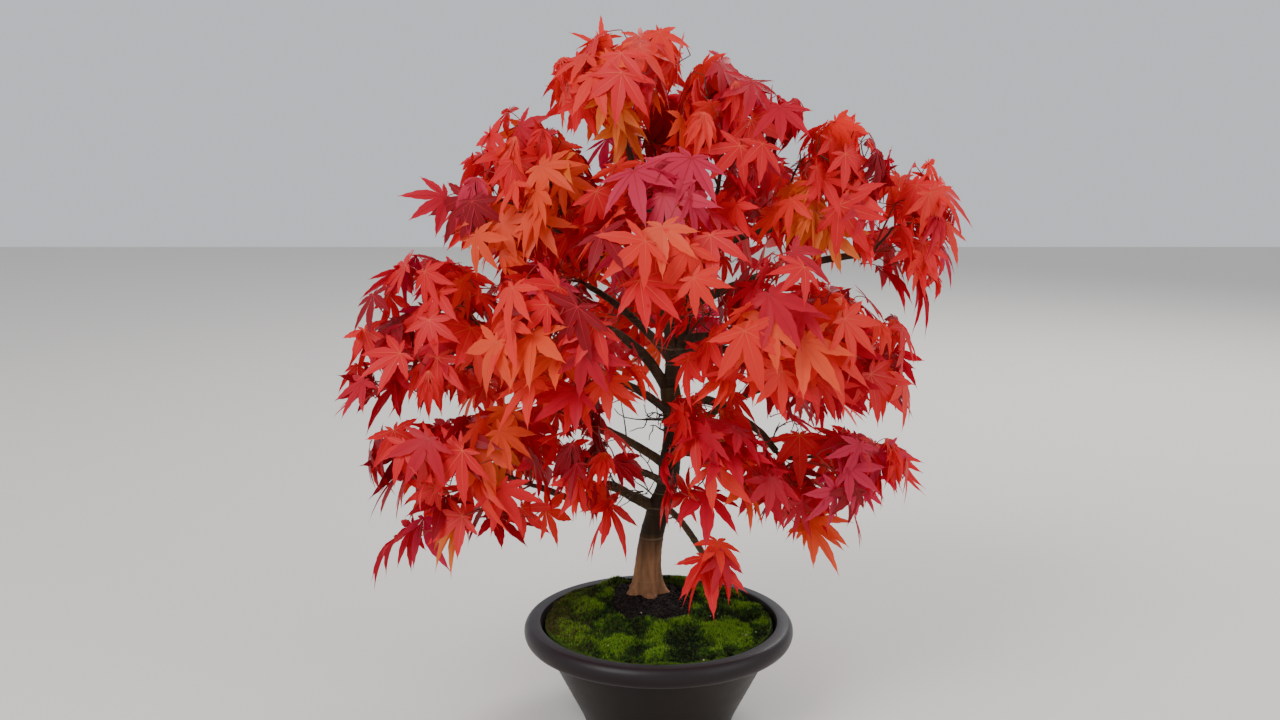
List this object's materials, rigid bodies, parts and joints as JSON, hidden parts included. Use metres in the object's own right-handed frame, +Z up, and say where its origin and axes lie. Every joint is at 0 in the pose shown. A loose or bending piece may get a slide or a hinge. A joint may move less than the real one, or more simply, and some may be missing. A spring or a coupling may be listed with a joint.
{
  "type": "potted japanese maple bonsai",
  "caption": "Japanese maple bonsai in red autumn leaf: a forked trunk with tapering boughs and tiers of palmate leaves, in a round plastic bonsai pot with moss on the soil.",
  "frame": {"origin": "centre of the flat underside of the pot", "axes": "+Z up, +X to the right as the picture sees the plant, +Y away from the picture's camera"},
  "size_m": [0.5263, 0.3813, 0.604],
  "materials": {
    "pot": "dark brown plastic, satin on the lip",
    "soil": "dark moist soil",
    "moss": "fine green moss",
    "trunk": "smooth bark, tan at the foot and darker above",
    "bough": "smooth dark bark",
    "foliage": "red autumn leaves"
  },
  "bodies": {
    "root": {"pot": "pot", "soil": "soil", "moss": "moss", "trunk": "trunk", "leader": "bough", "right_stem": "bough", "bough_left_low": "bough", "bough_right_low": "bough", "bough_left_mid": "bough", "bough_right_mid": "bough", "bough_upper_left": "bough", "bough_upper_right": "bough", "bough_right_arm": "bough", "bough_top_back": "bough", "bough_centre_front": "bough", "bough_left_front": "bough", "bough_right_front": "bough", "bough_right_inner": "bough", "bough_left_inner": "bough", "bough_low_sprig": "bough", "bough_back_mid": "bough", "bough_back_upper_left": "bough", "bough_back_upper_right": "bough", "bough_back_left_low": "bough", "bough_back_right_low": "bough", "foliage_apex": "foliage", "foliage_top_right": "foliage", "foliage_top_back": "foliage", "foliage_upper_left": "foliage", "foliage_upper_right": "foliage", "foliage_right_arm": "foliage", "foliage_centre_front": "foliage", "foliage_left_mid": "foliage", "foliage_left_front": "foliage", "foliage_right_front": "foliage", "foliage_right_mid": "foliage", "foliage_left_low": "foliage", "foliage_right_low": "foliage", "foliage_right_inner": "foliage", "foliage_left_inner": "foliage", "foliage_low_sprig": "foliage", "foliage_back_mid": "foliage", "foliage_back_upper_left": "foliage", "foliage_back_upper_right": "foliage", "foliage_back_left_low": "foliage", "foliage_back_right_low": "foliage"}
  },
  "joints": []
}
